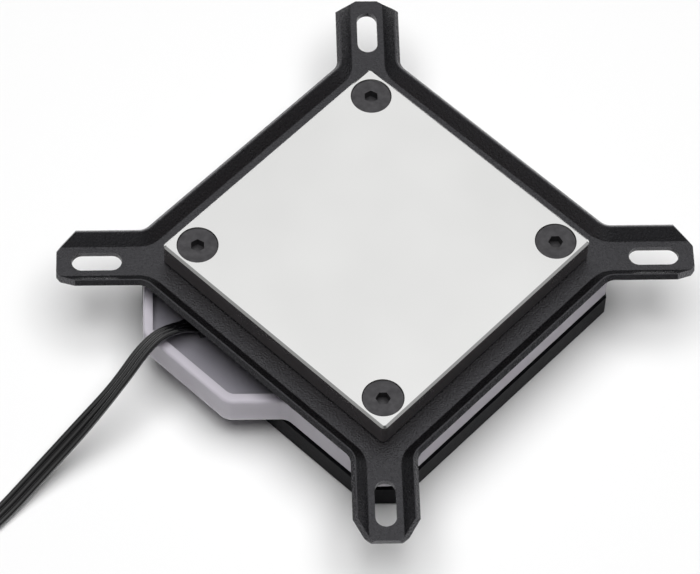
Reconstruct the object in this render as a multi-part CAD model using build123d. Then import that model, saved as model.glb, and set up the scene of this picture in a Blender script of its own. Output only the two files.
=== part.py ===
from build123d import *
import math
import os

# A square liquid cooling block with a four armed bracket, lying with its metal plate up.
# Millimetres, +Z up, origin on the floor under the centre. X and Y run along the arms.
# The body is a square turned by 45 degrees: p and q run along its sides, d points out of
# the side that the light cable leaves (p = (x - y) / sqrt 2, d = -(x + y) / sqrt 2).

# Heights of the stack, from the floor up
cover_height = 5.8
board_thickness = 0.9
diffuser_height = 6.5
flange_thickness = 1.6
sheet_thickness = 1.2
plate_thickness = 5.6

# Square pieces, each half as wide as its side, from the diffuser inward
diffuser_half = 33.75
ring_width = 5.35
loose_gap = 0.4
block_wall = 8.0
groove_wall = 1.15
plate_overhang = 1.1

# Cooling plate
plate_corner_radius = 0.9
plate_edge_break = 0.45
fin_field = 30.0
fin_pitch = 1.0
fin_gap = 0.5
fin_depth = 3.0

# Plate screws, countersunk with a hexagon socket: left, top, bottom and right
screw_inset = 4.825
screw_diameter = 4.0
screw_length = 13.1
screw_head_diameter = 7.7
screw_head_edge = 0.25
screw_head_depth = 0.2
screw_head_gap = 0.18
screw_socket = 2.5
screw_socket_depth = 1.8
screw_turns = [30.0, 30.0, 0.0, 0.0]

# Bracket, pressed from one sheet
bracket_margin = 3.7
arm_floor_half = 3.12
arm_tip = 7.76
bend_angle = 45.0
bend_inner_radius = 0.3
flange_length = 2.97
rim_edge_break = 0.18
bend_plan_radius = 6.0
end_trim_at_fold = 0.75
end_trim_at_rim = 3.7
bolt_spacing = 107.48
slot_width = 4.0
slot_length = 9.66
screw_hole_diameter = 4.5

# Water top, with its chamber, seal groove and two threaded ports
flange_overlap = 3.1
land_corner_radius = 11.5
land_gap = 0.05
chamber_corner_radius = 7.0
chamber_depth = 5.0
gasket_width = 2.0
gasket_height = 1.7
gasket_path_radius = 9.5
port_margin = 6.5
port_wall_diameter = 11.8
port_thread_depth = 6.2
port_boss_diameter = 18.0
port_boss_recess = 0.2
passage_diameter = 8.0

# Jet insert, its seal and the jet plate
plenum_half_q = 4.0
plenum_depth = 1.9
outlet_notch_width = 9.0
outlet_notch_depth = 1.9
jet_plate_thickness = 0.5
jet_slot_width = 1.2
jet_slot_margin = 0.5
seal_inner_diameter = 9.6
seal_width = 1.2
seal_height = 0.8

# Diffuser, with the bump that the cable passes
corner_cut = 2.78
diffuser_edge_radius = 0.6
bump_depth = 8.25
bump_end_y = 30.1
bump_rim = 1.9
bump_corner_radius = 3.3
bump_root_radius = 3.0
recess_corner_radius = 2.5
recess_depth = 2.2
recess_wall = 1.1
recess_top_y = 1.0

# Light board and its lights
board_set_in = 0.75
led_side = 3.0
led_height = 1.2
leds_per_side = 3
led_spacing = 16.0

# Cover under the diffuser
cover_lip = 0.35
cover_corner_cut = 3.03
cover_floor = 2.2
cover_wall = 2.7
cover_edge_radius = 0.5
cover_screw_inset = 8.0
cover_screw_diameter = 3.0
cover_screw_length = 7.9
cover_screw_head_diameter = 5.6
cover_screw_socket = 2.0
cover_screw_socket_depth = 1.4

# Light cable, a flat ribbon of three strands
ribbon_width = 3.72
ribbon_thickness = 1.24
grommet_width = 7.0
grommet_height = 3.6
grommet_length = 2.4
grommet_edge_radius = 0.8
grommet_middle_p = -14.8
nose_middle_p = -15.7
nose_reach = 0.85
nose_rise = 1.4
nose_width = 5.0
nose_height = 2.9
nose_length = 2.3
nose_edge_radius = 0.6
coil_turns = 3
coil_pitch = 1.3
coil_outer_radius = 24.2
tail_runs = 4
tail_run = 9.1
tail_turn = 40.0
tail_lean = 22.0
twist_steps = 5

# Connector on the cable's end, and the tie round the coil
connector_width = 10.4
connector_length = 13.8
connector_height = 2.8
connector_corner_radius = 0.6
connector_edge_break = 0.25
contact_pitch = 2.54
cavity_side = 1.7
cavity_depth = 9.0
contact_wall = 0.2
contact_set_back = 1.0
tie_width = 3.0
tie_thickness = 0.5
tie_angle = 150.0

# Clearances
fit_gap = 0.2
bracket_gap = 0.5
hole_gap = 0.1
tip_chamfer = 0.5

# Levels that follow from the stack
board_top = cover_height + board_thickness
diffuser_top = board_top + diffuser_height
sheet_bottom = diffuser_top + flange_thickness
sheet_top = sheet_bottom + sheet_thickness
plate_top = sheet_top + plate_thickness
chamber_floor = sheet_top - chamber_depth
land_top = sheet_top - land_gap
recess_floor = diffuser_top - recess_depth
screw_tip = plate_top - screw_length
ribbon_on_edge = ribbon_width / 2

# Widths that follow from the square pieces
root2 = math.sqrt(2)
opening_half = diffuser_half - ring_width
block_half = opening_half - loose_gap
block_flange_half = opening_half + flange_overlap
chamber_half = block_half - block_wall
gasket_path_half = chamber_half + groove_wall + (gasket_width + fit_gap) / 2
land_half = gasket_path_half + (gasket_width + fit_gap) / 2 + groove_wall
insert_half_p = chamber_half - fit_gap
insert_half_q = chamber_half - chamber_corner_radius
port_offset = chamber_half - port_margin
plate_half = block_half + plate_overhang
screw_offset = plate_half - screw_inset
bend_square_half = plate_half + bracket_margin
arm_end = bolt_spacing / 2 + arm_tip
diffuser_corner = diffuser_half * root2 - corner_cut
bump_reach = diffuser_half + bump_depth
recess_back = opening_half + recess_wall
cover_half = diffuser_half + cover_lip
cover_screw_offset = block_half - cover_screw_inset
grommet_back = recess_back + fit_gap
nose_front = grommet_back + grommet_length + nose_reach
nose_x = (nose_middle_p - nose_front) / root2
nose_y = -(nose_middle_p + nose_front) / root2

# Cable points from the grommet's nose to the coil, chosen by eye: x, y and height of the middle
cable_route = [
    (nose_x, nose_y, recess_floor + nose_rise),
    (-41.2, -14.5, 14.1),
    (-45.6, -18.2, 14.5),
    (-51.0, -25.1, 11.6),
    (-56.4, -31.3, 8.0),
    (-64.6, -39.3, 3.3),
    (-72.9, -47.6, 0.7),
    (-78.4, -53.4, 1.86),
    (-84.0, -59.2, 1.86),
]


def turned(shape):
    """Turns a shape drawn along p and q to its place between the arms."""
    return Rot(0, 0, -45) * shape


def at_height(shape, z):
    return Pos(0, 0, z) * shape


def body_outline(half, cut):
    """The square body's outline, its corners cut back square to the arms."""
    corner = half * root2 - cut
    return square(half) & Rectangle(2 * corner, 2 * corner)


def square(half):
    return turned(Rectangle(2 * half, 2 * half))


def rounded_square(half, radius):
    return turned(RectangleRounded(2 * half, 2 * half, radius))


def slab(outline, bottom, top):
    return at_height(extrude(outline, top - bottom), bottom)


def cylinder(diameter, bottom, top):
    return slab(Circle(diameter / 2), bottom, top)


def on_corners(offset):
    """The four places at the same distance along p and q."""
    return [(p, q) for p in (-offset, offset) for q in (-offset, offset)]


def along_sides(p, q):
    """The place in x and y of a point given along the body's sides."""
    return ((p + q) / root2, (q - p) / root2)


def placed(shape, p, q):
    x, y = along_sides(p, q)
    return Pos(x, y, 0) * shape


def fused(shapes):
    """One node of several separate or joined solids."""
    whole = shapes[0]
    for shape in shapes[1:]:
        whole = whole + shape
    return whole


# Cooling plate

def countersink(head_diameter, top):
    """A 90 degree cone whose rim lies at the given height."""
    radius = head_diameter / 2
    return Pos(0, 0, top - radius / 2) * Cone(0.001, radius, radius)


def cold_plate():
    block = slab(square(plate_half), sheet_top, plate_top)
    block = fillet(block.edges().filter_by(Axis.Z), plate_corner_radius)
    block = chamfer(block.edges().group_by(Axis.Z)[-1], plate_edge_break)
    sink_diameter = screw_head_diameter + 2 * screw_head_gap
    sink_top = plate_top - screw_head_depth - screw_head_edge + screw_head_gap
    for p, q in on_corners(screw_offset):
        block -= placed(countersink(sink_diameter, sink_top), p, q)
        block -= placed(cylinder(sink_diameter, sink_top, plate_top), p, q)
        block -= placed(cylinder(screw_diameter + fit_gap, sheet_top, plate_top), p, q)
    gaps = int(fin_field / fin_pitch) - 1
    for number in range(gaps):
        p = (number - (gaps - 1) / 2) * fin_pitch
        gap = Pos(p, 0, 0) * Rectangle(fin_gap, fin_field)
        block -= slab(turned(gap), sheet_top, sheet_top + fin_depth)
    return block


def plate_screw(turn):
    head_radius = screw_head_diameter / 2
    shank = screw_diameter / 2
    face = plate_top - screw_head_depth
    seat = face - screw_head_edge
    profile = Polyline(
        (0, screw_tip),
        (shank - tip_chamfer, screw_tip),
        (shank, screw_tip + tip_chamfer),
        (shank, seat - head_radius + shank),
        (head_radius, seat),
        (head_radius, face),
        (0, face),
        close=True,
    )
    screw = revolve(Plane.XZ * make_face(profile), Axis.Z)
    socket = Rot(0, 0, turn) * RegularPolygon(screw_socket / 2, 6, major_radius=False)
    return screw - slab(socket, face - screw_socket_depth, face)


def plate_screws():
    places = zip(on_corners(screw_offset), screw_turns)
    return fused([placed(plate_screw(turn), p, q) for (p, q), turn in places])


# Mounting bracket

def flange_profile():
    """Section of the turned up edge: h runs outward from the bend line, v up from the sheet."""
    bend = math.radians(bend_angle)
    along = (math.cos(bend), math.sin(bend))
    outer = bend_inner_radius + sheet_thickness
    middle = bend / 2

    def on_bend(radius, angle):
        return (radius * math.sin(angle), bend_inner_radius - radius * math.cos(angle))

    inner_end = on_bend(bend_inner_radius, bend)
    outer_end = on_bend(outer, bend)
    across = (along[1], -along[0])

    def on_flange(start, out, down):
        return tuple(start[axis] + out * along[axis] + down * across[axis] for axis in (0, 1))

    inner_rim = on_flange(inner_end, flange_length - rim_edge_break, 0)
    broken_rim = on_flange(inner_end, flange_length, rim_edge_break)
    outer_rim = on_flange(outer_end, flange_length, 0)
    inner_start = on_bend(bend_inner_radius, 0)
    outer_start = on_bend(outer, 0)
    inner_arc = ThreePointArc(inner_start, on_bend(bend_inner_radius, middle), inner_end)
    outer_arc = ThreePointArc(outer_end, on_bend(outer, middle), outer_start)
    lines = [
        inner_arc,
        Line(inner_end, inner_rim),
        Line(inner_rim, broken_rim),
        Line(broken_rim, outer_rim),
        Line(outer_rim, outer_end),
        outer_arc,
        Line(outer_start, inner_start),
    ]
    return make_face(Curve() + lines)


def bracket_floor():
    """The flat part of the sheet, inside the bend lines."""
    arm = Rectangle(2 * arm_end, 2 * arm_floor_half)
    floor = square(bend_square_half) + arm + Rot(0, 0, 90) * arm
    root = bend_square_half * root2 - arm_floor_half
    inner = [v for v in floor.vertices() if abs(abs(v.X) + abs(v.Y) - root - arm_floor_half) < 0.01]
    return fillet(inner, bend_plan_radius)


def bracket_flange():
    """The turned up edge along one arm, the body's side and the next arm."""
    root = bend_square_half * root2 - arm_floor_half
    start = (arm_end, arm_floor_half, sheet_top)
    path = FilletPolyline(
        start,
        (root, arm_floor_half, sheet_top),
        (arm_floor_half, root, sheet_top),
        (arm_floor_half, arm_end, sheet_top),
        radius=bend_plan_radius,
    )
    section = Plane(origin=start, x_dir=(0, 1, 0), z_dir=(1, 0, 0)) * flange_profile()
    return sweep(section, path=path)


def end_trims():
    """Wedges that take the corners off an arm's end, through its floor and its turned up edges."""
    bend = math.radians(bend_angle)
    past_fold = bend_inner_radius * math.tan(bend / 2)
    fold = arm_floor_half + past_fold
    rim = past_fold + flange_length
    slope = (end_trim_at_rim - end_trim_at_fold) / rim
    low, high = -end_trim_at_fold / slope, 2 * rim
    beyond = end_trim_at_fold
    wall = Plane(
        origin=(arm_end, fold, sheet_top),
        x_dir=(1, 0, 0),
        z_dir=(0, -math.sin(bend), math.cos(bend)),
    )
    on_wall = Polyline(
        (0, low),
        (-end_trim_at_fold - slope * high, high),
        (beyond, high),
        (beyond, low),
        close=True,
    )
    under_bend = arm_floor_half + (bend_inner_radius + sheet_thickness) * math.sin(bend)
    trim_there = end_trim_at_fold + slope * past_fold
    on_floor = Polyline(
        (arm_end, under_bend - trim_there / (slope * math.cos(bend))),
        (arm_end - trim_there, under_bend),
        (arm_end + beyond, under_bend),
        (arm_end + beyond, arm_floor_half - end_trim_at_fold),
        close=True,
    )
    wedge = extrude(wall * make_face(on_wall), amount=2 * sheet_thickness, both=True)
    wedge += slab(make_face(on_floor), sheet_bottom, sheet_top)
    return wedge + mirror(wedge, Plane.XZ)


def mounting_bracket():
    bracket = slab(bracket_floor(), sheet_bottom, sheet_top)
    for turn in range(4):
        bracket += Rot(0, 0, 90 * turn) * bracket_flange()
    opening = rounded_square(land_half + bracket_gap, land_corner_radius + bracket_gap)
    bracket -= slab(opening, sheet_bottom, sheet_top)
    slot = SlotOverall(slot_length, slot_width)
    for turn in range(4):
        bracket -= Rot(0, 0, 90 * turn) * end_trims()
        hole = Pos(screw_offset * root2, 0) * Circle(screw_hole_diameter / 2)
        cut = Pos(bolt_spacing / 2, 0) * slot + hole
        bracket -= Rot(0, 0, 90 * turn) * slab(cut, sheet_bottom, sheet_top)
    return bracket


# Water top and what its chamber holds

def loop(half, radius, width, bottom, top):
    """A flat band that follows a rounded square."""
    outer = rounded_square(half + width / 2, radius + width / 2)
    inner = rounded_square(half - width / 2, radius - width / 2)
    return slab(outer - inner, bottom, top)


def water_top():
    bottom = cover_floor
    block = slab(square(block_half), bottom, sheet_bottom)
    block += slab(body_outline(block_flange_half, corner_cut), diffuser_top, sheet_bottom)
    block += slab(rounded_square(land_half, land_corner_radius), sheet_bottom, land_top)
    block -= slab(rounded_square(chamber_half, chamber_corner_radius), chamber_floor, land_top)
    groove_floor = sheet_top - gasket_height
    block -= loop(gasket_path_half, gasket_path_radius, gasket_width + fit_gap, groove_floor, land_top)
    for p in (-port_offset, port_offset):
        block += placed(cylinder(port_boss_diameter, port_boss_recess, bottom), p, 0)
        thread_end = port_boss_recess + port_thread_depth
        block -= placed(cylinder(port_wall_diameter, port_boss_recess, thread_end), p, 0)
        block -= placed(cylinder(passage_diameter, thread_end, chamber_floor), p, 0)
    for p, q in on_corners(screw_offset):
        hole = cylinder(screw_diameter + hole_gap, screw_tip - tip_chamfer, sheet_bottom)
        block -= placed(hole, p, q)
    for p, q in on_corners(cover_screw_offset):
        hole = cylinder(cover_screw_diameter + hole_gap, bottom, cover_screw_length + tip_chamfer)
        block -= placed(hole, p, q)
    notch = Rectangle(grommet_width + 2 * fit_gap, grommet_width)
    block -= slab(at_side(notch, grommet_middle_p, recess_back + grommet_width / 2), diffuser_top, sheet_bottom)
    return block


def at_side(outline, p, d):
    """Puts an outline drawn along p and q at a distance d out of the cable's side."""
    return turned(Pos(p, -d, 0) * outline)


def main_gasket():
    band = loop(gasket_path_half, gasket_path_radius, gasket_width, sheet_top - gasket_height, sheet_top)
    return chamfer(band.edges().filter_by(Plane.XY), gasket_width / 5)


def jet_insert():
    top = sheet_top - jet_plate_thickness
    block = slab(turned(Rectangle(2 * insert_half_p, 2 * insert_half_q)), chamber_floor, top)
    plenum = turned(Rectangle(2 * port_offset + passage_diameter, 2 * plenum_half_q))
    block -= slab(plenum, top - plenum_depth, top)
    block -= placed(cylinder(passage_diameter, chamber_floor, top), -port_offset, 0)
    notch = turned(Pos(port_offset, 0) * Rectangle(outlet_notch_width, 2 * insert_half_q))
    block -= slab(notch, chamber_floor, chamber_floor + outlet_notch_depth)
    groove = Circle(seal_inner_diameter / 2 + seal_width) - Circle(seal_inner_diameter / 2)
    return block - placed(slab(groove, chamber_floor, chamber_floor + seal_height), -port_offset, 0)


def insert_seal():
    ring = Circle(seal_inner_diameter / 2 + seal_width) - Circle(seal_inner_diameter / 2)
    return placed(slab(ring, chamber_floor, chamber_floor + seal_height), -port_offset, 0)


def jet_plate():
    plate = Rectangle(2 * insert_half_p, 2 * insert_half_q)
    slot = Rectangle(fin_field - 2 * jet_slot_margin, jet_slot_width)
    return slab(turned(plate - slot), sheet_top - jet_plate_thickness, sheet_top)


# Diffuser, board and cover

def near(outline, x, y):
    """The vertex of an outline nearest to a place."""
    return min(outline.vertices(), key=lambda v: math.hypot(v.X - x, v.Y - y))


def bump_outline():
    """The diffuser's outline with the bump on the cable's side."""
    reach = bump_reach * root2
    inside = (diffuser_half - bump_rim) * root2
    bump = Polygon(
        (-diffuser_corner, 0),
        (-diffuser_corner, diffuser_corner - reach),
        (bump_end_y - reach, -bump_end_y),
        (bump_end_y - inside, -bump_end_y),
        (-inside, 0),
        align=None,
    )
    outline = body_outline(diffuser_half, corner_cut) + bump
    side = diffuser_half * root2
    outline = fillet(near(outline, -diffuser_corner, diffuser_corner - reach), bump_corner_radius)
    outline = fillet(near(outline, bump_end_y - reach, -bump_end_y), bump_corner_radius)
    return fillet(near(outline, bump_end_y - side, -bump_end_y), bump_root_radius)


def recess_outline():
    """The recess in the bump's top, open to the middle under the bracket."""
    end_x = diffuser_corner - bump_rim
    end_y = bump_end_y - bump_rim
    reach = (bump_reach - bump_rim) * root2
    back = recess_back * root2
    recess = Polygon(
        (-end_x, -recess_top_y),
        (-end_x, end_x - reach),
        (end_y - reach, -end_y),
        (end_y - back, -end_y),
        (recess_top_y - back, -recess_top_y),
        align=None,
    )
    return fillet(near(recess, end_y - reach, -end_y), recess_corner_radius)


def led_places():
    """Middles of the lights along p and q, side by side on each side of the board."""
    middle = (opening_half + diffuser_half) / 2
    places = []
    for number in range(leds_per_side):
        along = (number - (leds_per_side - 1) / 2) * led_spacing
        places += [(along, middle), (along, -middle), (middle, along), (-middle, along)]
    return places


def light_diffuser():
    body = slab(bump_outline(), board_top, diffuser_top)
    body = fillet(body.edges().group_by(Axis.Z)[-1], diffuser_edge_radius)
    body -= slab(square(opening_half), board_top, diffuser_top)
    body -= slab(recess_outline(), recess_floor, diffuser_top)
    pocket = Rectangle(led_side + loose_gap, led_side + loose_gap)
    for p, q in led_places():
        body -= slab(turned(Pos(p, q) * pocket), board_top, board_top + led_height + fit_gap)
    return body


def leds():
    light = Rectangle(led_side, led_side)
    lights = []
    for p, q in led_places():
        lights.append(slab(turned(Pos(p, q) * light), board_top, board_top + led_height))
    return fused(lights)


def led_board():
    ring = body_outline(diffuser_half - board_set_in, corner_cut) - square(opening_half)
    return slab(ring, cover_height, board_top)


def bottom_cover():
    outside = body_outline(cover_half, cover_corner_cut)
    inside = body_outline(cover_half - cover_wall, cover_corner_cut)
    cover = slab(outside, 0, cover_height)
    cover = chamfer(cover.edges().group_by(Axis.Z)[0], cover_edge_radius)
    cover -= slab(inside, cover_floor, cover_height)
    for p in (-port_offset, port_offset):
        cover -= placed(cylinder(port_boss_diameter + 2 * fit_gap, 0, cover_floor), p, 0)
    head = cover_screw_head_diameter + fit_gap
    for p, q in on_corners(cover_screw_offset):
        cone = mirror(countersink(head, 0), Plane.XY)
        cover -= placed(cone, p, q)
        cover -= placed(cylinder(cover_screw_diameter + fit_gap, 0, cover_floor), p, q)
    return cover


def cover_screw():
    head_radius = cover_screw_head_diameter / 2
    shank = cover_screw_diameter / 2
    seat = fit_gap / 2
    tip = seat + cover_screw_length
    profile = Polyline(
        (0, seat),
        (head_radius, seat),
        (shank, seat + head_radius - shank),
        (shank, tip - tip_chamfer),
        (shank - tip_chamfer, tip),
        (0, tip),
        close=True,
    )
    screw = revolve(Plane.XZ * make_face(profile), Axis.Z)
    socket = RegularPolygon(cover_screw_socket / 2, 6, major_radius=False)
    return screw - slab(socket, seat, seat + cover_screw_socket_depth)


def cover_screws():
    return fused([placed(cover_screw(), p, q) for p, q in on_corners(cover_screw_offset)])


# Light cable

def vector(start, end):
    return Vector(*end) - Vector(*start)


def bend_radii(route):
    """The largest arc that the two runs at each inner point allow."""
    radii = []
    for before, here, after in zip(route, route[1:], route[2:]):
        first, second = vector(before, here), vector(here, after)
        half_turn = math.radians(first.get_angle(second)) / 2
        radii.append(0.45 * min(first.length, second.length) / math.tan(half_turn))
    return radii


def rolled_side(heading, roll):
    """The ribbon's width direction: roll 0 lies flat, 90 stands on edge."""
    side = heading.cross(Vector(0, 0, 1))
    return side.rotate(Axis((0, 0, 0), heading), roll)


def carried_back(side, route):
    """A width direction at a route's end, carried back to its start without a twist."""
    headings = [vector(start, end) for start, end in zip(route, route[1:])]
    for before, after in reversed(list(zip(headings, headings[1:]))):
        side = side.rotate(Axis((0, 0, 0), before.cross(after)), -before.get_angle(after))
    return side


def ribbon_outline():
    """A flat section with its four edges broken, as plain as a cable's solid needs."""
    outline = Rectangle(ribbon_width, ribbon_thickness)
    return chamfer(outline.vertices(), ribbon_thickness / 4)


def room_for_lead():
    """A straight way into the coil's outer turn, as wide as the flat ribbon."""
    heading = vector(*cable_route[-2:])
    side = heading.cross(Vector(0, 0, 1))
    plane = Plane(origin=cable_route[-1], x_dir=side, z_dir=heading)
    width = ribbon_width + 2 * hole_gap
    return extrude(plane * Rectangle(width, 2 * ribbon_width), -coil_outer_radius)


def room_for_tail():
    """A way out of the coil's inner turn, with the ribbon on edge."""
    return tail(Rectangle(2 * ribbon_width, ribbon_thickness + 2 * hole_gap))[0]


def ribbon_section(origin, heading, side, outline):
    plane = Plane(origin=origin, x_dir=side, z_dir=heading)
    return plane * outline


def ribbon(route, end, end_roll, outline):
    """A ribbon on straight runs and tangent arcs, cut short at an end in the last run."""
    path = FilletPolyline(*route[:-1], end, radius=bend_radii(route))
    side = carried_back(rolled_side(vector(*route[-2:]), end_roll), route)
    section = ribbon_section(route[0], vector(*route[:2]), side, outline)
    return sweep(section, path=path), path.length


def twisted(start, end, first_roll, last_roll, outline):
    """A straight stretch in which the ribbon turns about its own line."""
    heading = vector(start, end)
    sections = []
    for step in range(twist_steps + 1):
        share = step / twist_steps
        side = rolled_side(heading, first_roll + (last_roll - first_roll) * share)
        sections.append(ribbon_section(Vector(*start) + heading * share, heading, side, outline))
    return loft(sections, ruled=True)


def split_run(route, share):
    """The place part way along a route's last run."""
    before, end = Vector(*route[-2]), Vector(*route[-1])
    return tuple(before + (end - before) * share)


def lead(outline):
    """Grommet to coil: flat, then turned on edge in the last run."""
    twist_from = split_run(cable_route, 0.5)
    flat, length = ribbon(cable_route, twist_from, 0, outline)
    twist = twisted(twist_from, cable_route[-1], 0, 90, outline)
    return flat + twist, length + vector(twist_from, cable_route[-1]).length


def coil_frame():
    """Middle of the coil, and the angle at which the cable joins its outer turn."""
    heading = vector(cable_route[-2], cable_route[-1])
    heading = Vector(heading.X, heading.Y, 0).normalized()
    inward = Vector(heading.Y, -heading.X, 0)
    joint = Vector(*cable_route[-1])
    middle = Vector(joint.X, joint.Y, 0) + inward * coil_outer_radius
    return middle, math.atan2(-inward.Y, -inward.X)


def tail_route():
    """From the coil's inner turn round to the connector at its middle."""
    middle, joint_angle = coil_frame()
    radius = coil_outer_radius - coil_turns * coil_pitch
    point = middle + Vector(math.cos(joint_angle), math.sin(joint_angle), 0) * radius
    heading = joint_angle - math.pi / 2 - math.radians(tail_lean)
    route = [(point.X, point.Y, ribbon_on_edge)]
    for _ in range(tail_runs):
        point = point + Vector(math.cos(heading), math.sin(heading), 0) * tail_run
        route.append((point.X, point.Y, ribbon_on_edge))
        heading -= math.radians(tail_turn)
    return route


def tail(outline):
    """Coil to connector: on edge, then laid flat in the last run."""
    route = tail_route()
    twist_from = split_run(route, 0.48)
    edge, length = ribbon(route, twist_from, 90, outline)
    twist = twisted(twist_from, route[-1], 90, 0, outline)
    return edge + twist, length + vector(twist_from, route[-1]).length


def light_cable():
    solid, length = lead(ribbon_outline())
    report_cord("light_cable", solid, length, bend_radii(cable_route))
    return solid


def cable_tail():
    solid, length = tail(ribbon_outline())
    report_cord("cable_tail", solid, length, bend_radii(tail_route()))
    return solid


def report_cord(name, solid, length, radii):
    section = ribbon_outline().area
    print(name, "length", round(length, 1), "radii", [round(r, 1) for r in radii])
    print(name, "volume", round(solid.volume, 1), "section times length", round(section * length, 1))


def coil_radii():
    """Inner and outer faces of the wound turns."""
    inner = coil_outer_radius - coil_turns * coil_pitch - ribbon_thickness / 2
    return inner, coil_outer_radius + ribbon_thickness / 2


def cable_coil():
    middle, _ = coil_frame()
    inner, outer = coil_radii()
    ring = slab(Circle(outer) - Circle(inner), 0, ribbon_width)
    under_tie = Pos((inner + outer) / 2, 0) * Rectangle(2 * (outer - inner), tie_width + fit_gap)
    ring -= Rot(0, 0, tie_angle) * slab(under_tie, 0, tie_thickness)
    ring = Pos(middle.X, middle.Y, 0) * ring
    return ring - room_for_lead() - room_for_tail()


def cable_tie():
    middle, _ = coil_frame()
    inner, outer = coil_radii()
    width = outer - inner + 2 * hole_gap
    height = ribbon_width
    around = Rectangle(width + 2 * tie_thickness, height + 2 * tie_thickness)
    strap = fillet(around.vertices(), tie_thickness * 0.8) - Rectangle(width, height)
    section = Pos((inner + outer) / 2, 0, height / 2 + tie_thickness) * (Plane.XZ * strap)
    band = extrude(section, tie_width / 2, both=True)
    return Pos(middle.X, middle.Y, 0) * (Rot(0, 0, tie_angle) * band)


def cable_grommet():
    """A rubber block in the recess, with a nose square to the cable."""
    outline = Rectangle(grommet_width, grommet_length)
    outline = at_side(outline, grommet_middle_p, grommet_back + grommet_length / 2)
    block = slab(outline, recess_floor, recess_floor + grommet_height)
    block = fillet(block.edges().filter_by(Axis.Z), grommet_edge_radius)
    heading = vector(cable_route[0], cable_route[1])
    side = heading.cross(Vector(0, 0, 1))
    plane = Plane(origin=cable_route[0], x_dir=side, z_dir=heading)
    nose = extrude(plane * RectangleRounded(nose_width, nose_height, nose_edge_radius), -nose_length)
    return (block + nose) - slab(Rectangle(2 * arm_end, 2 * arm_end), 0, recess_floor)


# Connector

def connector_plane():
    """Its middle lies on the cable's end, x across it and y along the cable."""
    route = tail_route()
    heading = vector(route[-2], route[-1])
    heading = Vector(heading.X, heading.Y, 0).normalized()
    return Plane(origin=(route[-1][0], route[-1][1], 0), x_dir=(heading.Y, -heading.X, 0), z_dir=(0, 0, 1))


def contact_places():
    """Three contacts in four places, the third one blind."""
    return [(place - 1.5) * contact_pitch for place in (0, 1, 3)]


def rgb_connector():
    outline = Pos(0, connector_length / 2) * Rectangle(connector_width, connector_length)
    body = extrude(outline, connector_height)
    body = fillet(body.edges().filter_by(Axis.Z), connector_corner_radius)
    body = chamfer(body.edges().filter_by(Plane.XY), connector_edge_break)
    middle = connector_height / 2
    for x in contact_places():
        cavity = Pos(x, connector_length - cavity_depth / 2, middle) * Box(cavity_side, cavity_depth, cavity_side)
        body -= cavity
    return connector_plane() * body


def connector_contacts():
    middle = connector_height / 2
    length = cavity_depth - contact_set_back
    place = connector_length - cavity_depth + length / 2
    contacts = []
    for x in contact_places():
        sleeve = Box(cavity_side, length, cavity_side)
        bore = Pos(0, 1, 0) * Box(cavity_side - 2 * contact_wall, length, cavity_side - 2 * contact_wall)
        contacts.append(Pos(x, place, middle) * (sleeve - bore))
    return connector_plane() * fused(contacts)


nodes = [
    cold_plate,
    plate_screws,
    mounting_bracket,
    main_gasket,
    jet_plate,
    jet_insert,
    insert_seal,
    water_top,
    light_diffuser,
    led_board,
    leds,
    bottom_cover,
    cover_screws,
    cable_grommet,
    light_cable,
    cable_coil,
    cable_tail,
    cable_tie,
    rgb_connector,
    connector_contacts,
]

os.makedirs("parts", exist_ok=True)
for make in nodes:
    export_step(make(), f"parts/{make.__name__}.step")
    print(make.__name__)
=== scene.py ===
"""Looks of an upturned processor water block, in metres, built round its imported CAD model.

The solids keep their shapes and get procedural materials here. The flat light cable is rebuilt as
one moulded ribbon of three wires. Floor, lamp and world make a plain white product studio.
"""

import math

import bpy
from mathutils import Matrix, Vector


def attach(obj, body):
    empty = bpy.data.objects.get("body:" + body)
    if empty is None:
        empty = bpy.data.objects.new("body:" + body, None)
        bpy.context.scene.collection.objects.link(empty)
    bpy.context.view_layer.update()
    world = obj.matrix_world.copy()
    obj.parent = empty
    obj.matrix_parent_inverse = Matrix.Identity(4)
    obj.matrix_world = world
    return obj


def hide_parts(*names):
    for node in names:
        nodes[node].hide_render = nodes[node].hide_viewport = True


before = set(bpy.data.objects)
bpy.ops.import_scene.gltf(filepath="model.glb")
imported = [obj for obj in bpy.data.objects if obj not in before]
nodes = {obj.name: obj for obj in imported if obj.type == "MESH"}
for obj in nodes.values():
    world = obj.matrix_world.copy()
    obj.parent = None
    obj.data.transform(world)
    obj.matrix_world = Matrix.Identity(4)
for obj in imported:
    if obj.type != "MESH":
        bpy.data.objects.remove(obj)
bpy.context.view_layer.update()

# Camera: its place round the block in degrees and metres. It aims at a point over the block's
# middle, moved right and up in the picture.
picture_width = 700
focal_pixels = 3741.5
sensor_width = 36.0
clip_near = 0.01
clip_far = 50
camera_azimuth = -4.154
camera_elevation = 57.887
camera_roll = 2.905
camera_distance = 0.7212
aim_height = 0.016
aim_right = -0.005015
aim_up = -0.00545

# Cable: three wires side by side, lying flat from the grommet to the coil and on edge in the coil
wire_radius = 0.00062
web_half_height = 0.00020
arc_steps = 8
line_steps = 8
crease_angle = 38.0
ribbon_width = 6 * wire_radius
ribbon_on_edge = ribbon_width / 2
lead_route = [
    (-0.0344, -0.0122, 0.0124),
    (-0.0395, -0.0141, 0.0145),
    (-0.0442, -0.0182, 0.0152),
    (-0.0497, -0.0254, 0.0122),
    (-0.0565, -0.0319, 0.0081),
    (-0.0647, -0.0393, 0.0034),
    (-0.0726, -0.0476, 0.0007),
    (-0.0784, -0.0534, ribbon_on_edge),
    (-0.0840, -0.0592, ribbon_on_edge),
]
coil_turns = 3
turn_points = 24
coil_radius = 0.0242
coil_pitch = 0.0013
tail_runs = 4
tail_run = 0.0091
tail_turn = 40.0
tail_lean = 22.0

# The coil lies flat on the tie's lower strap to either side of the tie's angle, then comes down
tie_angle = 150.0
tie_thickness = 0.0005
tie_clear_angle = 18.0
tie_ramp_angle = 24.0

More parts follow.
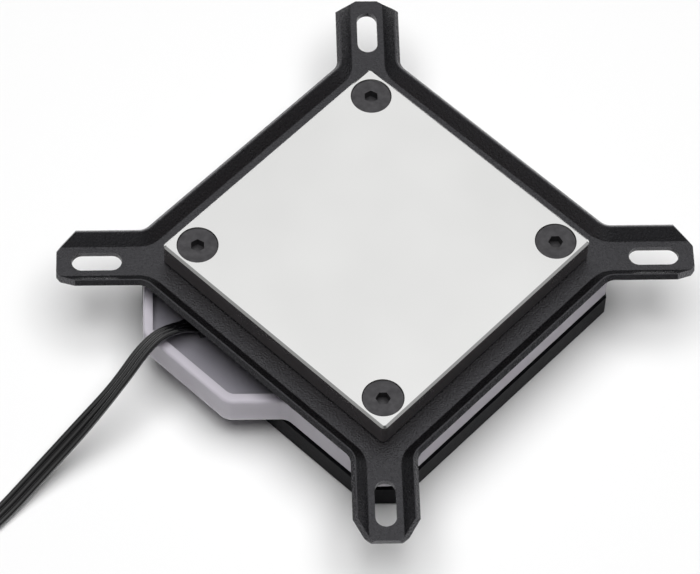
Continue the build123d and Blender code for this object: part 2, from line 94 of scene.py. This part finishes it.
# The ribbon turns on edge after a distance from the grommet, and flat again before the connector
twist_start = 0.0640
twist_length = 0.0150
tail_twist_length = 0.0085

# Distances from the grommet, and how far the flat ribbon leans over there, in degrees
cable_roll = [(0.0, 0.0), (0.004, 30.0), (0.020, 28.0), (0.036, 0.0)]

# Finishes: a noise varies each surface between two tones, which are display colours from 0 to 255,
# while it crosses the span. Some also vary in roughness by up to the spread.
tone_span = (0.3, 0.7)
roughness_spread = (-0.06, 0.08)

# Cold plate: lapped on top, with satin sides, which carry a painted shade at their foot below a
# height, standing for the shadow in the narrow gap beside the bracket
plate_tones = [(226, 226, 225), (232, 232, 231)]
plate_side_tone = (206, 200, 198)
plate_painted_shade_tone = (40, 38, 38)
plate_painted_shade_level = 0.0163
plate_roughness = (0.10, 0.17)
plate_side_roughness = 0.14

# Light diffuser: the dark board shows through the thin floor of its recess, below recess_level
diffuser_tones = [(176, 172, 180), (183, 179, 187)]
recess_tone = (124, 122, 129)
recess_level = 0.0112

# Powder coats, whose gloss is very slightly violet: roughness, gloss, depth of the grain and tones
gloss_tint = (0.95, 0.94, 1.0, 1.0)
powder_coats = {
    "bracket_paint": (0.26, 1.0, 0.00014, [(2, 2, 3), (6, 6, 8)]),
    "cover_black": (0.44, 0.06, 0.00003, [(12, 12, 14), (18, 18, 21)]),
}

# Plastics and plain metals: roughness and tones
plastics = {
    "insert_plastic": (0.46, [(34, 34, 36), (42, 42, 44)]),
    "block_plastic": (0.42, [(28, 28, 30), (35, 35, 37)]),
    "board_black": (0.50, [(18, 18, 19), (24, 24, 25)]),
    "led_white": (0.30, [(226, 222, 200), (236, 233, 214)]),
    "tie_black": (0.44, [(24, 24, 25), (32, 32, 33)]),
    "connector_black": (0.40, [(24, 24, 25), (33, 33, 34)]),
}
metals = {
    "jet_steel": (0.24, [(176, 176, 178), (190, 190, 191)]),
    "contact_brass": (0.26, [(196, 160, 84), (210, 176, 100)]),
}
rubbers = ["seal_rubber", "grommet_rubber"]
rubber_tones = [(20, 20, 21), (28, 28, 29)]
screw_tones = [(62, 61, 63), (80, 79, 81)]
cable_tones = [(3, 3, 4), (6, 6, 7)]

# Limits on the upward part of a surface's direction, for faces that look up and upright ones
looks_up = 0.9
looks_aside = 0.3

# The mix node's colour sockets share their names with its number sockets
mix_first_colour = 6
mix_second_colour = 7
mix_colour_result = 2

# Studio: a wide softbox overhead, and a pale floor that fades into a white backdrop
softbox_height = 0.75
softbox_size = 0.82
softbox_power = 8.3
floor_size = 8.0
floor_colour = 0.85
backdrop_from = 0.22
backdrop_to = 0.55
world_fill = 0.03

# What gloss sees round the object: bright patches of sky on a dark ground, each with its azimuth
# from +x, its elevation and its strength, and a strip above the horizon all round, given by
# heights on the unit sphere and the strength there
sky_patches = [
    (72.0, 62.0, 0.75),
    (125.0, 62.0, 0.38),
    (180.0, 62.0, 0.26),
    (90.0, 32.0, 0.18),
    (45.0, 8.0, 0.24),
    (270.0, 70.0, 0.45),
    (0.0, 38.0, 0.26),
    (225.0, 38.0, 0.26),
]
sky_sharpness = 10.0
sky_dark = 0.05
horizon_strip = [(0.09, 0.0), (0.15, 0.24), (0.36, 0.24), (0.46, 0.0)]


def linear(shade):
    """A display value from 0 to 1 as a light level."""
    return shade / 12.92 if shade <= 0.04045 else ((shade + 0.055) / 1.055) ** 2.4


def colour(tone):
    """A display colour from 0 to 255 for a shader's socket."""
    return (*(linear(channel / 255) for channel in tone), 1.0)


def smooth(share):
    """0 up to a share of 0 and 1 from a share of 1, with a soft start and end between them."""
    share = min(1.0, max(0.0, share))
    return share * share * (3 - 2 * share)


def direction(azimuth, elevation=0.0):
    """The unit vector at an angle from +x and an angle above the floor, in degrees."""
    turn, rise = math.radians(azimuth), math.radians(elevation)
    flat = math.cos(rise)
    return Vector((flat * math.cos(turn), flat * math.sin(turn), math.sin(rise)))


def add_object(name, data):
    made = bpy.data.objects.new(name, data)
    bpy.context.scene.collection.objects.link(made)
    return made


# Camera
def add_camera():
    roll = math.radians(camera_roll)
    back = direction(camera_azimuth - 90, camera_elevation)
    level = direction(camera_azimuth)
    upright = back.cross(level)
    right = level * math.cos(roll) + upright * math.sin(roll)
    up = upright * math.cos(roll) - level * math.sin(roll)
    data = bpy.data.cameras.new("camera")
    data.sensor_width = sensor_width
    data.lens = focal_pixels * sensor_width / picture_width
    data.clip_start, data.clip_end = clip_near, clip_far
    camera = add_object("camera", data)
    aim = Vector((0, 0, aim_height)) + right * aim_right + up * aim_up
    place = camera.matrix_world.copy()
    for row in range(3):
        place[row][0], place[row][1], place[row][2] = right[row], up[row], back[row]
        place[row][3] = (aim + back * camera_distance)[row]
    camera.matrix_world = place
    bpy.context.scene.camera = camera


# Cable
def over_tie(angle):
    """How far the coil is lifted where it passes over the tie's lower strap."""
    away = abs((angle - tie_angle + 180) % 360 - 180)
    return tie_thickness * min(1.0, max(0.0, 1 - (away - tie_clear_angle) / tie_ramp_angle))


def cable_route():
    """The lead as it lies in the photograph, the put-away coil outside it, and the tail."""
    route = [Vector(point) for point in lead_route]
    last_run = route[-1] - route[-2]
    inward = Vector((last_run.y, -last_run.x, 0)).normalized()
    middle = Vector((route[-1].x, route[-1].y, 0)) + inward * coil_radius
    joint = math.degrees(math.atan2(-inward.y, -inward.x))
    for step in range(1, coil_turns * turn_points + 1):
        turned = step / turn_points
        angle = joint - 360 * turned
        radius = coil_radius - coil_pitch * turned
        height = Vector((0, 0, ribbon_on_edge + over_tie(angle)))
        route.append(middle + direction(angle) * radius + height)
    heading = joint - 90 - tail_lean
    for _ in range(tail_runs):
        route.append(route[-1] + direction(heading) * tail_run)
        heading -= tail_turn
    return route


def line_along(route):
    """The points of the smooth line that has the route's points as its control points."""
    data = bpy.data.curves.new("cable_line", "CURVE")
    data.dimensions = "3D"
    data.resolution_u = line_steps
    spline = data.splines.new("NURBS")
    spline.points.add(len(route) - 1)
    for spot, point in zip(spline.points, route):
        spot.co = (*point, 1.0)
    spline.order_u = 3
    spline.use_endpoint_u = True
    carrier = bpy.data.objects.new("cable_line", data)
    mesh = bpy.data.meshes.new_from_object(carrier)
    line = [vertex.co.copy() for vertex in mesh.vertices]
    bpy.data.meshes.remove(mesh)
    bpy.data.curves.remove(data)
    return line


def ribbon_outline():
    """Three round wires joined by thin webs, as (across, up) points going round."""
    web_angle = math.asin(web_half_height / wire_radius)
    top = []
    for wire in (1, 0, -1):
        start = 0 if wire == 1 else web_angle
        end = math.pi if wire == -1 else math.pi - web_angle
        for step in range(arc_steps + 1):
            angle = start + (end - start) * step / arc_steps
            across = 2 * wire * wire_radius + wire_radius * math.cos(angle)
            top.append((across, wire_radius * math.sin(angle)))
    bottom = [(across, -up) for across, up in reversed(top[1:-1])]
    return top + bottom


def leaning(along):
    """How far the flat ribbon leans over, in degrees, at a distance from its start."""
    for (start, first), (end, last) in zip(cable_roll, cable_roll[1:]):
        if along < end:
            return first + (last - first) * smooth((along - start) / (end - start))
    return cable_roll[-1][1]


def ribbon_tilts(line):
    """The ribbon's turn about its own line at each point, in radians."""
    along = [0.0]
    for before, after in zip(line, line[1:]):
        along.append(along[-1] + (after - before).length)
    tilts = []
    for distance in along:
        edge = smooth((distance - twist_start) / twist_length)
        edge *= smooth((along[-1] - distance) / tail_twist_length)
        tilts.append(edge * math.pi / 2 + math.radians(leaning(distance)))
    return tilts


def ribbon_mesh(line):
    """The outline carried along the line, with a face on each end."""
    outline = ribbon_outline()
    size, last = len(outline), len(line) - 1
    verts, faces = [], []
    for index, (point, tilt) in enumerate(zip(line, ribbon_tilts(line))):
        heading = (line[min(last, index + 1)] - line[max(0, index - 1)]).normalized()
        side = Vector((heading.y, -heading.x, 0)).normalized()
        over = side.cross(heading)
        across = side * math.cos(tilt) - over * math.sin(tilt)
        up = over * math.cos(tilt) + side * math.sin(tilt)
        verts += [point + across * a + up * b for a, b in outline]
    for ring in range(last):
        for spot in range(size):
            a, b = ring * size + spot, ring * size + (spot + 1) % size
            faces.append((a, b, b + size, a + size))
    faces.append(tuple(reversed(range(size))))
    faces.append(tuple(range(last * size, (last + 1) * size)))
    mesh = bpy.data.meshes.new("light_cable_ribbon")
    mesh.from_pydata(verts, [], faces)
    mesh.polygons.foreach_set("use_smooth", [True] * len(faces))
    mesh.set_sharp_from_angle(angle=math.radians(crease_angle))
    mesh.update()
    return mesh


def add_cable():
    line = line_along(cable_route())
    cable = add_object("light_cable_ribbon", ribbon_mesh(line))
    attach(cable, "root")
    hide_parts("light_cable", "cable_coil", "cable_tail")
    return cable


# Sums in a node tree
def calculated(tree, operation, first, second):
    """The result of a sum on a node's output and on a second output or a plain number."""
    made = tree.nodes.new("ShaderNodeMath")
    made.operation = operation
    tree.links.new(first, made.inputs[0])
    if isinstance(second, float):
        made.inputs[1].default_value = second
    else:
        tree.links.new(second, made.inputs[1])
    return made.outputs["Value"]


def mixed(tree, share, first, second):
    """A number between a constant and a node's output, by share."""
    mix = tree.nodes.new("ShaderNodeMix")
    mix.inputs["A"].default_value = first
    tree.links.new(second, mix.inputs["B"])
    tree.links.new(share, mix.inputs["Factor"])
    return mix.outputs["Result"]


# Materials
class Finish:
    """A material under construction: its main shader and the textures that feed it."""

    def __init__(self, name, **values):
        self.material = bpy.data.materials.new(name)
        self.material.use_nodes = True
        self.tree = self.material.node_tree
        self.shader = self.tree.nodes["Principled BSDF"]
        self.place = self.tree.nodes.new("ShaderNodeTexCoord")
        for socket, value in values.items():
            self.shader.inputs[socket.replace("_", " ")].default_value = value

    def feed(self, socket, source):
        """Lets a node's output set one of the main shader's values."""
        self.tree.links.new(source, self.shader.inputs[socket])

    def noise(self, size, detail=2.0, roughness=0.5):
        """Cloudy noise whose patches are about size metres across."""
        made = self.tree.nodes.new("ShaderNodeTexNoise")
        made.inputs["Scale"].default_value = 1 / size
        made.inputs["Detail"].default_value = detail
        made.inputs["Roughness"].default_value = roughness
        self.tree.links.new(self.place.outputs["Object"], made.inputs["Vector"])
        return made.outputs["Fac"]

    def toned(self, source, tones, span=tone_span):
        """A colour from the first to the second tone while source crosses the span."""
        made = self.tree.nodes.new("ShaderNodeValToRGB")
        for stop, position, tone in zip(made.color_ramp.elements, span, tones):
            stop.position = position
            stop.color = colour(tone)
        self.tree.links.new(source, made.inputs["Fac"])
        return made.outputs["Color"]

    def tinted(self, source, share, tone):
        """A colour that turns from source to a tone by share."""
        made = self.tree.nodes.new("ShaderNodeMix")
        made.data_type = "RGBA"
        made.inputs[mix_second_colour].default_value = colour(tone)
        self.tree.links.new(share, made.inputs["Factor"])
        self.tree.links.new(source, made.inputs[mix_first_colour])
        return made.outputs[mix_colour_result]

    def between(self, source, lowest, highest):
        """A number that goes from lowest to highest with the texture."""
        made = self.tree.nodes.new("ShaderNodeMapRange")
        made.inputs["To Min"].default_value = lowest
        made.inputs["To Max"].default_value = highest
        self.tree.links.new(source, made.inputs["Value"])
        return made.outputs["Result"]

    def spread(self, source, roughness):
        """A roughness that varies a little with the texture."""
        less, more = roughness_spread
        return self.between(source, roughness + less, roughness + more)

    def bump(self, source, depth):
        """Raises the surface by up to depth metres with the texture."""
        made = self.tree.nodes.new("ShaderNodeBump")
        made.inputs["Strength"].default_value = 1.0
        made.inputs["Distance"].default_value = depth
        self.tree.links.new(source, made.inputs["Height"])
        self.feed("Normal", made.outputs["Normal"])

    def upward(self, coordinates):
        """The upward part of a place or of a surface's direction."""
        split = self.tree.nodes.new("ShaderNodeSeparateXYZ")
        self.tree.links.new(self.place.outputs[coordinates], split.inputs["Vector"])
        return split.outputs["Z"]

    def facing_up(self):
        """1 on faces that look up, and 0 elsewhere."""
        return calculated(self.tree, "GREATER_THAN", self.upward("Normal"), looks_up)

    def facing_aside(self):
        """1 on upright faces, and 0 elsewhere."""
        return calculated(self.tree, "LESS_THAN", self.upward("Normal"), looks_aside)

    def below(self, level):
        """1 under a height in metres, and 0 above it."""
        return calculated(self.tree, "LESS_THAN", self.upward("Object"), level)


def nickel_plated():
    """Lapped and plated copper: nearly a mirror on top, and satin on its sides."""
    made = Finish("nickel_plate", Metallic=1.0)
    lapped = made.toned(made.noise(size=0.030), plate_tones, span=(0.35, 0.65))
    side = made.facing_aside()
    # Painted shade: the upright sides turn dark below a height, for the shadow in the gap beside
    # the bracket
    painted_gap_shade = calculated(made.tree, "MULTIPLY", side, made.below(plate_painted_shade_level))
    milled = made.tinted(lapped, side, plate_side_tone)
    made.feed("Base Color", made.tinted(milled, painted_gap_shade, plate_painted_shade_tone))
    haze = made.between(made.noise(size=0.018, detail=3), *plate_roughness)
    satin = calculated(made.tree, "MULTIPLY", side, plate_side_roughness)
    made.feed("Roughness", calculated(made.tree, "ADD", haze, satin))
    return made.material


def powder_coat(name, roughness, gloss, depth, tones):
    """Textured powder coat: small rounded grains with a slightly mottled colour."""
    made = Finish(name, Specular_IOR_Level=gloss, Specular_Tint=gloss_tint)
    mottle = made.noise(size=0.0009, detail=3, roughness=0.6)
    made.feed("Base Color", made.toned(mottle, tones, span=(0.30, 0.72)))
    made.feed("Roughness", made.spread(made.noise(size=0.0012), roughness))
    made.bump(made.noise(size=0.00034, detail=1.5), depth)
    return made.material


def plastic(name, roughness, tones):
    """Moulded plastic with a fine spark-eroded grain."""
    made = Finish(name, Roughness=roughness)
    made.feed("Base Color", made.toned(made.noise(size=0.006, detail=3), tones))
    made.bump(made.noise(size=0.0006), depth=0.000015)
    return made.material


def metal(name, roughness, tones):
    """Plain metal with a faintly uneven sheen."""
    made = Finish(name, Metallic=1.0)
    made.feed("Base Color", made.toned(made.noise(size=0.003), tones))
    made.feed("Roughness", made.spread(made.noise(size=0.001), roughness))
    return made.material


def rubber(name):
    """Dull black rubber."""
    made = Finish(name, Roughness=0.62, Specular_IOR_Level=0.4)
    made.feed("Base Color", made.toned(made.noise(size=0.004, detail=3), rubber_tones))
    made.bump(made.noise(size=0.0005, detail=3), depth=0.00002)
    return made.material


def cable_jacket():
    """Soft plastic wire jacket: black and smooth, with a thin line of light along each wire."""
    made = Finish(
        "cable_black", Roughness=0.22, Specular_IOR_Level=0.8, Coat_Weight=0.6, Coat_Roughness=0.12
    )
    made.feed("Base Color", made.toned(made.noise(size=0.004, detail=3), cable_tones))
    made.bump(made.noise(size=0.0010), depth=0.000008)
    return made.material


def blackened_steel():
    """Black oxide on screw steel, slightly worn and satin."""
    made = Finish("screw_black", Metallic=0.55)
    wear = made.noise(size=0.0012, detail=3)
    made.feed("Base Color", made.toned(wear, screw_tones, span=(0.30, 0.75)))
    made.feed("Roughness", made.between(made.noise(size=0.0008), lowest=0.34, highest=0.50))
    made.bump(made.noise(size=0.0004), depth=0.000012)
    return made.material


def frosted():
    """Milky light-spreading plastic: light enters it and comes out softened."""
    made = Finish(
        "diffuser_plastic",
        Roughness=0.42,
        Subsurface_Weight=0.6,
        Subsurface_Scale=0.004,
        Subsurface_Radius=(1.0, 1.0, 1.0),
    )
    milky = made.toned(made.noise(size=0.012), diffuser_tones)
    recess = calculated(made.tree, "MULTIPLY", made.facing_up(), made.below(recess_level))
    made.feed("Base Color", made.tinted(milky, recess, recess_tone))
    made.bump(made.noise(size=0.0007), depth=0.00002)
    return made.material


def add_materials(cable):
    finishes = {
        "nickel_plate": nickel_plated(),
        "screw_black": blackened_steel(),
        "diffuser_plastic": frosted(),
        "cable_black": cable_jacket(),
    }
    finishes |= {name: powder_coat(name, *look) for name, look in powder_coats.items()}
    finishes |= {name: plastic(name, *look) for name, look in plastics.items()}
    finishes |= {name: metal(name, *look) for name, look in metals.items()}
    finishes |= {name: rubber(name) for name in rubbers}
    for node in nodes.values():
        for slot in node.material_slots:
            slot.material = finishes[slot.material.name.split(".")[0]]
    cable.data.materials.append(finishes["cable_black"])


# Studio
def seen_directly(tree):
    """1 for rays from the camera, a mirror or a clear body, and 0 for those that light things."""
    rays = tree.nodes.new("ShaderNodeLightPath").outputs
    seen = calculated(tree, "MAXIMUM", rays["Is Camera Ray"], rays["Is Glossy Ray"])
    return calculated(tree, "MAXIMUM", seen, rays["Is Transmission Ray"])


def sky_patch(tree, place, azimuth, elevation, strength):
    """A round patch of light that fades with the angle from its middle."""
    towards = tree.nodes.new("ShaderNodeVectorMath")
    towards.operation = "DOT_PRODUCT"
    towards.inputs[1].default_value = direction(azimuth, elevation)
    tree.links.new(place, towards.inputs[0])
    facing = calculated(tree, "MAXIMUM", towards.outputs["Value"], 0.0)
    return calculated(tree, "MULTIPLY", calculated(tree, "POWER", facing, sky_sharpness), strength)


def sky_strip(tree, place):
    """A band of light all round, above the horizon."""
    height = tree.nodes.new("ShaderNodeSeparateXYZ")
    strip = tree.nodes.new("ShaderNodeValToRGB")
    stops = strip.color_ramp.elements
    for position, _ in horizon_strip[len(stops):]:
        stops.new(position)
    for stop, (position, strength) in zip(stops, horizon_strip):
        stop.position = position
        stop.color = (strength, strength, strength, 1)
    tree.links.new(place, height.inputs["Vector"])
    tree.links.new(height.outputs["Z"], strip.inputs["Fac"])
    return strip.outputs["Color"]


def studio_sky(tree):
    """What gloss sees round the object: a dark sky with soft bright patches and a strip."""
    place = tree.nodes.new("ShaderNodeTexCoord").outputs["Generated"]
    level = calculated(tree, "ADD", sky_strip(tree, place), sky_dark)
    for patch in sky_patches:
        level = calculated(tree, "ADD", sky_patch(tree, place, *patch), level)
    return level


def add_world():
    """White where it is seen, the studio's sky in gloss, and a weak even fill for all else."""
    world = bpy.data.worlds.new("studio")
    world.use_nodes = True
    tree = world.node_tree
    glossy = tree.nodes.new("ShaderNodeLightPath").outputs["Is Glossy Ray"]
    seen = mixed(tree, glossy, 1.0, studio_sky(tree))
    background = tree.nodes["Background"]
    background.inputs["Color"].default_value = (1, 1, 1, 1)
    strength = mixed(tree, seen_directly(tree), world_fill, seen)
    tree.links.new(strength, background.inputs["Strength"])
    bpy.context.scene.world = world


def floor_material():
    """Pale and matt, turning into the white backdrop with the distance from the middle."""
    material = bpy.data.materials.new("floor")
    material.use_nodes = True
    tree = material.node_tree
    tree.nodes.remove(tree.nodes["Principled BSDF"])
    plain = tree.nodes.new("ShaderNodeBsdfDiffuse")
    plain.inputs["Color"].default_value = (floor_colour, floor_colour, floor_colour, 1)
    white = tree.nodes.new("ShaderNodeEmission")
    away = tree.nodes.new("ShaderNodeVectorMath")
    away.operation = "LENGTH"
    tree.links.new(tree.nodes.new("ShaderNodeTexCoord").outputs["Object"], away.inputs[0])
    fade = tree.nodes.new("ShaderNodeMapRange")
    fade.interpolation_type = "SMOOTHSTEP"
    fade.inputs["From Min"].default_value = backdrop_from
    fade.inputs["From Max"].default_value = backdrop_to
    tree.links.new(away.outputs["Value"], fade.inputs["Value"])
    share = calculated(tree, "MULTIPLY", fade.outputs["Result"], seen_directly(tree))
    mix = tree.nodes.new("ShaderNodeMixShader")
    tree.links.new(share, mix.inputs["Fac"])
    tree.links.new(plain.outputs[0], mix.inputs[1])
    tree.links.new(white.outputs[0], mix.inputs[2])
    tree.links.new(mix.outputs[0], tree.nodes["Material Output"].inputs["Surface"])
    return material


def add_floor():
    """A wide flat square that carries the shadows."""
    half = floor_size / 2
    corners = [(-half, -half, 0), (half, -half, 0), (half, half, 0), (-half, half, 0)]
    mesh = bpy.data.meshes.new("floor")
    mesh.from_pydata(corners, [], [(0, 1, 2, 3)])
    mesh.materials.append(floor_material())
    add_object("floor", mesh)


def add_softbox():
    """A round lamp overhead that shines straight down and isn't seen in gloss."""
    data = bpy.data.lights.new("overhead_softbox", "AREA")
    data.shape = "DISK"
    data.size = softbox_size
    data.energy = softbox_power
    lamp = add_object("overhead_softbox", data)
    lamp.location = (0, 0, softbox_height)
    lamp.visible_glossy = False


bpy.context.scene.view_settings.view_transform = "Standard"
add_camera()
cable = add_cable()
add_materials(cable)
add_world()
add_floor()
add_softbox()
